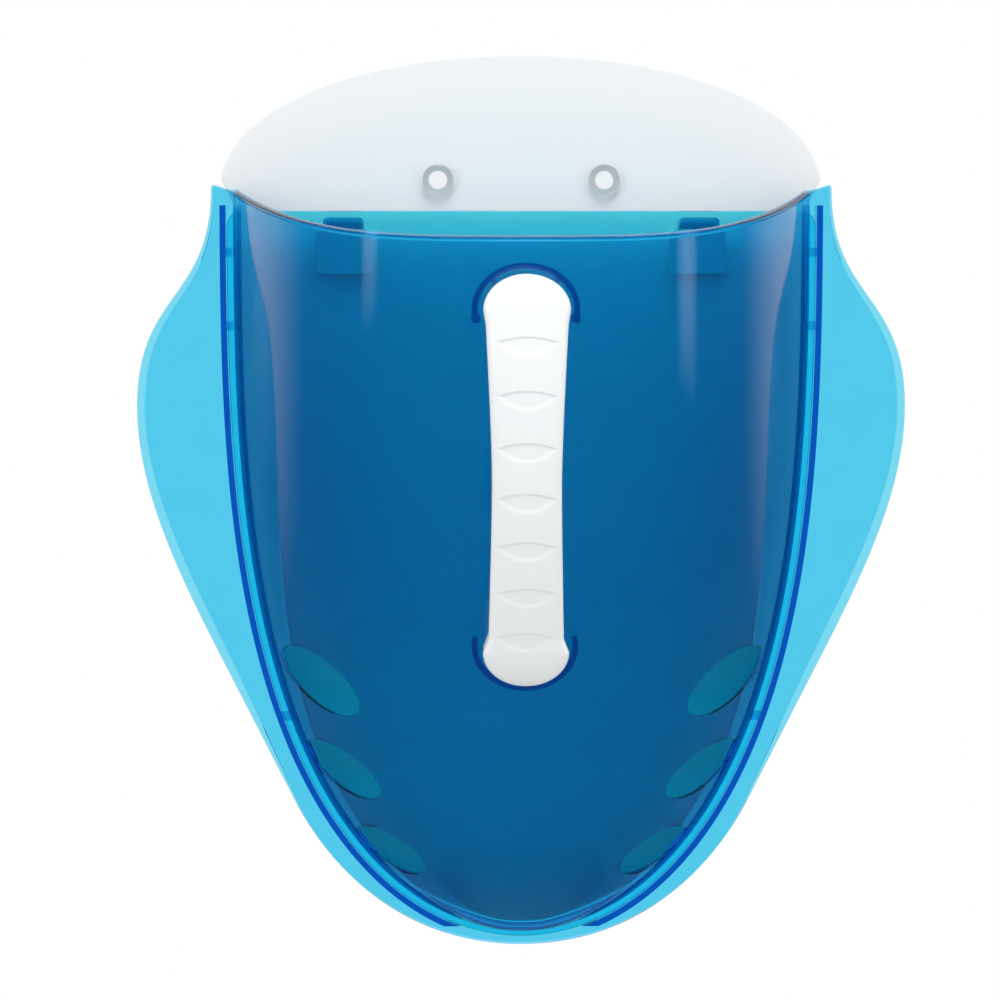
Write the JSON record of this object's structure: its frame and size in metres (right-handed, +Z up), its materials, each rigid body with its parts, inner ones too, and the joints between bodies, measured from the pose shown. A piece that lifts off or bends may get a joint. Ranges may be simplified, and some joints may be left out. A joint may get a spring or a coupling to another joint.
{
  "type": "bath toy organizer",
  "caption": "Translucent blue bath toy scoop with drain holes, side wings and a white bow handle, hooked on a wall bracket held by suction cups.",
  "frame": {"origin": "on the wall plane, midway between the two upper suction cups", "axes": "+Z up along the wall; +Y into the wall, so the scoop stands out towards -Y; +X to the right as seen from the front"},
  "size_m": [0.3454, 0.1642, 0.4027],
  "materials": {
    "blue_plastic": "glossy translucent moulded polypropylene",
    "white_plastic": "satin moulded ABS",
    "clear_vinyl": "glossy clear soft PVC",
    "screw_steel": "bright zinc plated"
  },
  "bodies": {
    "wall_mount": {"wall_bracket": "white_plastic", "suction_cup_upper_left": "clear_vinyl", "suction_cup_upper_right": "clear_vinyl", "suction_cup_lower": "clear_vinyl"},
    "scoop": {"front_shell": "blue_plastic", "back_panel": "blue_plastic", "handle_grip": "white_plastic", "handle_back": "white_plastic", "handle_screw_upper_left": "screw_steel", "handle_screw_upper_right": "screw_steel", "handle_screw_lower_left": "screw_steel", "handle_screw_lower_right": "screw_steel"}
  },
  "joints": [
    {"name": "scoop_lift", "type": "slide", "parent": "wall_mount", "child": "scoop", "axis": [0, 0, 1], "range_m": [0, 0.06]}
  ]
}
